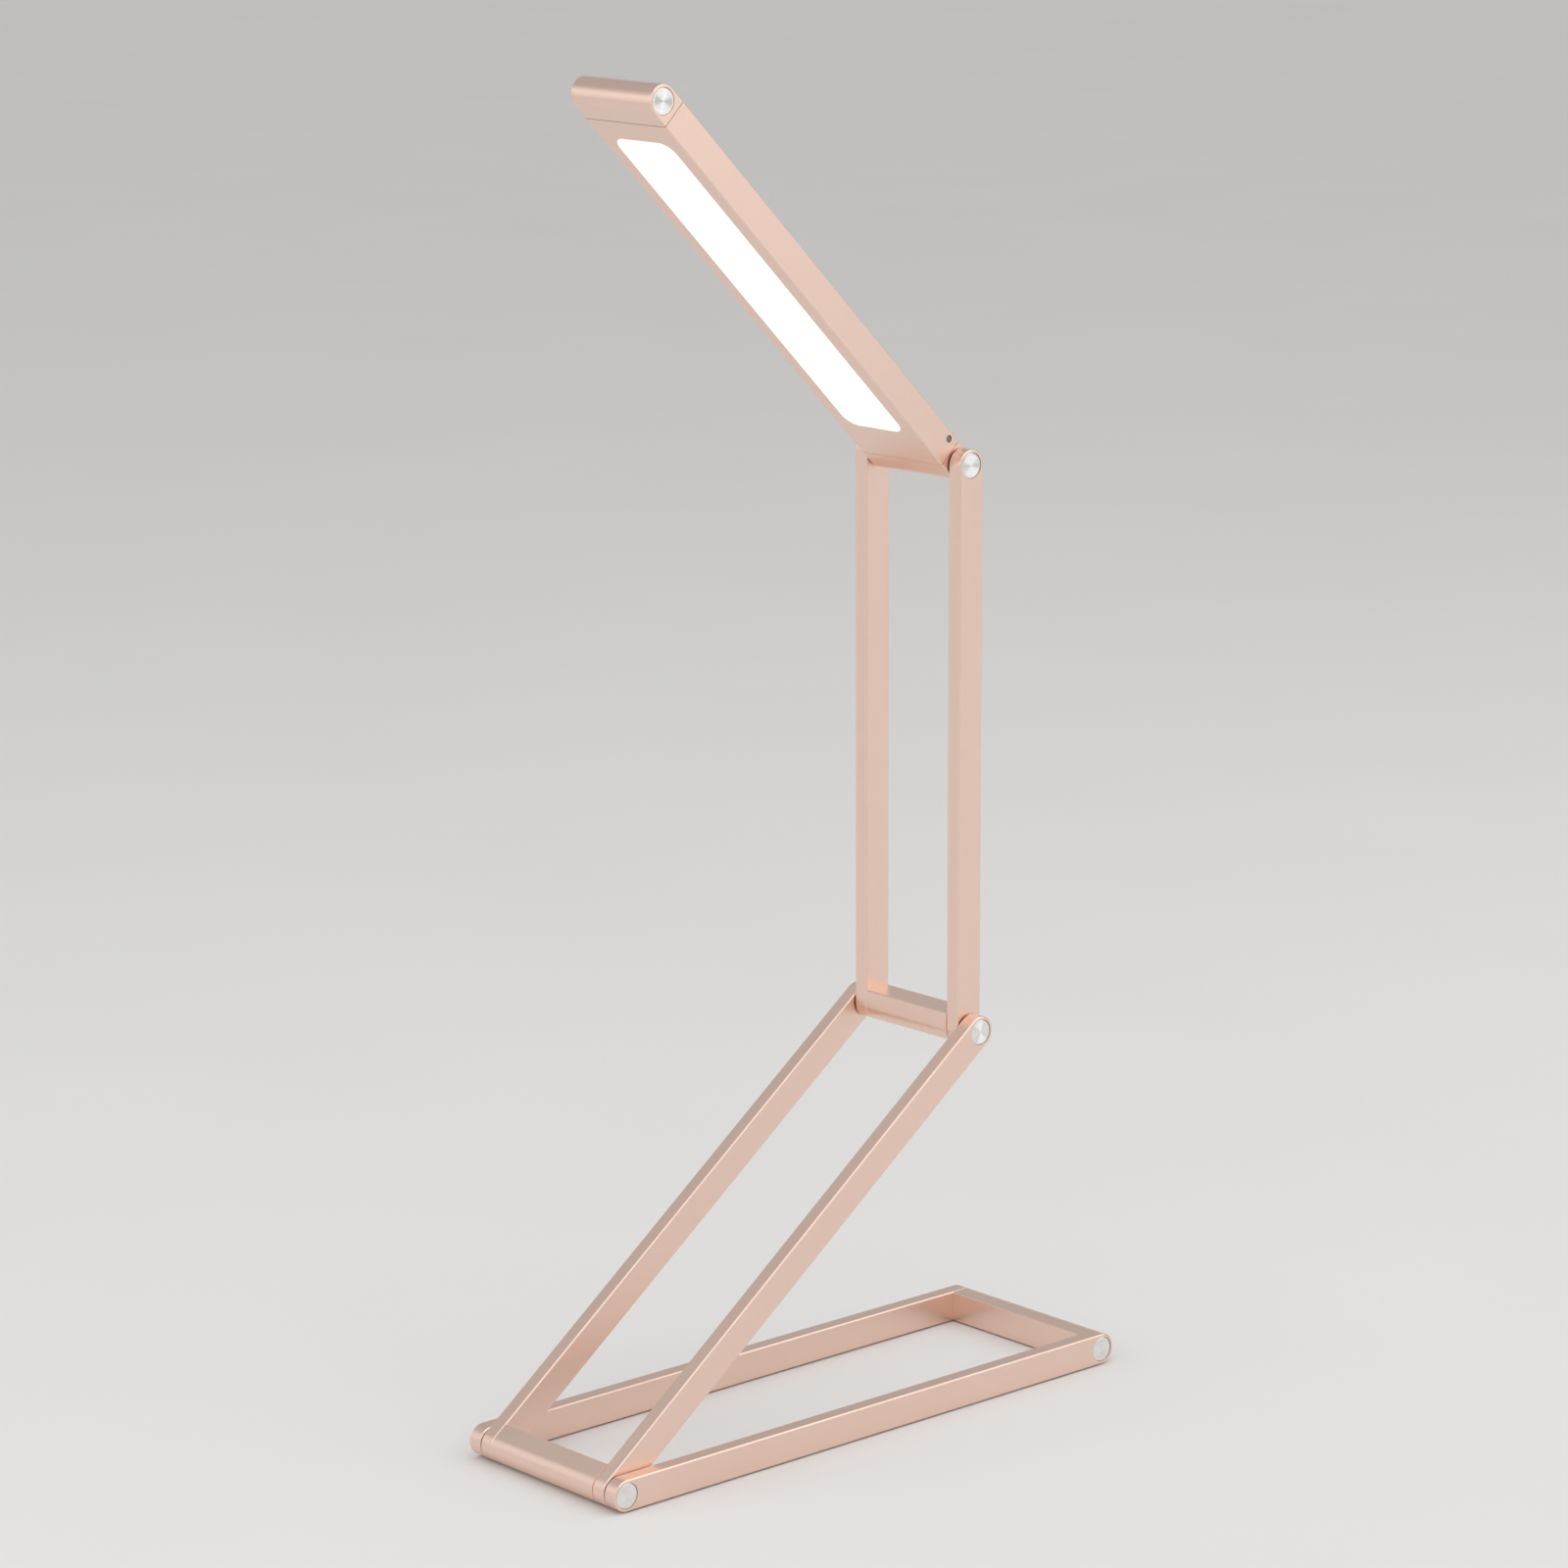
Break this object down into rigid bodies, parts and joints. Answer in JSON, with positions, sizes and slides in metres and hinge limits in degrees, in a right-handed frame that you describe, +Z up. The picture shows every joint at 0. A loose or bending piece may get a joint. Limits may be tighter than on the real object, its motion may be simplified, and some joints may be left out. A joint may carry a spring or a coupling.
{
  "type": "folding led desk lamp",
  "caption": "Folding desk lamp of flat nested metal frames: a base, two hinged arms and a slim head with a lit panel on its underside; friction hinges hold each pose.",
  "frame": {"origin": "centre of the base's footprint, on the table under the foot pads", "axes": "+X along the base from the base hinge to the far crossbar, +Y along the hinge axes, +Z up"},
  "size_m": [0.2222, 0.0726, 0.4429],
  "materials": {
    "rose_gold": "fine bead-blasted and anodised, satin",
    "turned_silver": "turned on a lathe, fine rings, bright",
    "screw_steel": "plain machined",
    "washer_nylon": "matte",
    "foot_rubber": "matte",
    "diffuser_opal": "opal, lit from behind",
    "reflector_white": "matte white",
    "lamp_board_white": "white lacquer on a metal core",
    "led_phosphor": "clear resin over phosphor",
    "battery_pouch": "laminated foil pouch",
    "battery_tape": "foam tape",
    "control_board_green": "lacquered laminate",
    "socket_steel": "drawn sheet",
    "switch_black": "matte",
    "plunger_white": "matte",
    "indicator_smoke": "smoked, clear when lit",
    "flex_amber": "polyimide film"
  },
  "bodies": {
    "base": {"base_rail_left": "rose_gold", "base_rail_right": "rose_gold", "base_crossbar": "rose_gold", "base_screws": "screw_steel", "base_end_caps": "turned_silver", "base_hinge_caps": "turned_silver", "foot_pads": "foot_rubber"},
    "lower_arm": {"lower_rail_left": "rose_gold", "lower_rail_right": "rose_gold", "lower_crossbar": "rose_gold", "base_pivot_screws": "screw_steel", "base_friction_washers": "washer_nylon", "elbow_hinge_caps": "turned_silver"},
    "upper_arm": {"upper_rail_left": "rose_gold", "upper_rail_right": "rose_gold", "upper_crossbar": "rose_gold", "elbow_pivot_screws": "screw_steel", "elbow_friction_washers": "washer_nylon", "head_hinge_caps": "turned_silver"},
    "head": {"head_shell": "rose_gold", "hinge_block": "rose_gold", "tip_block": "rose_gold", "tip_caps": "turned_silver", "diffuser": "diffuser_opal", "reflector_frame": "reflector_white", "led_board": "lamp_board_white", "leds": "led_phosphor", "battery": "battery_pouch", "battery_tape": "battery_tape", "control_board": "control_board_green", "charging_socket": "socket_steel", "switch_body": "switch_black", "indicator_lens": "indicator_smoke", "head_pivot_screws": "screw_steel", "head_friction_washers": "washer_nylon", "lamp_flex": "flex_amber", "battery_flex": "flex_amber"},
    "button": {"power_button": "turned_silver", "switch_plunger": "plunger_white"}
  },
  "joints": [
    {"name": "base_hinge", "type": "hinge", "parent": "base", "child": "lower_arm", "pos_m": [-0.1059, 0, 0.00565], "axis": [0, -1, 0], "range_deg": [-33.9, 72.9]},
    {"name": "elbow_hinge", "type": "hinge", "parent": "lower_arm", "child": "upper_arm", "pos_m": [0.05286, 0, 0.12572], "axis": [0, 1, 0], "range_deg": [-116.9, 53.1]},
    {"name": "head_hinge", "type": "hinge", "parent": "upper_arm", "child": "head", "pos_m": [0.0522, 0, 0.31342], "axis": [0, 1, 0], "range_deg": [-135, 45]},
    {"name": "power_button_press", "type": "slide", "parent": "head", "child": "button", "axis": [-0.7046, 0, -0.7096], "range_m": [0, 0.0004], "stiffness_N_per_m": 4000}
  ]
}
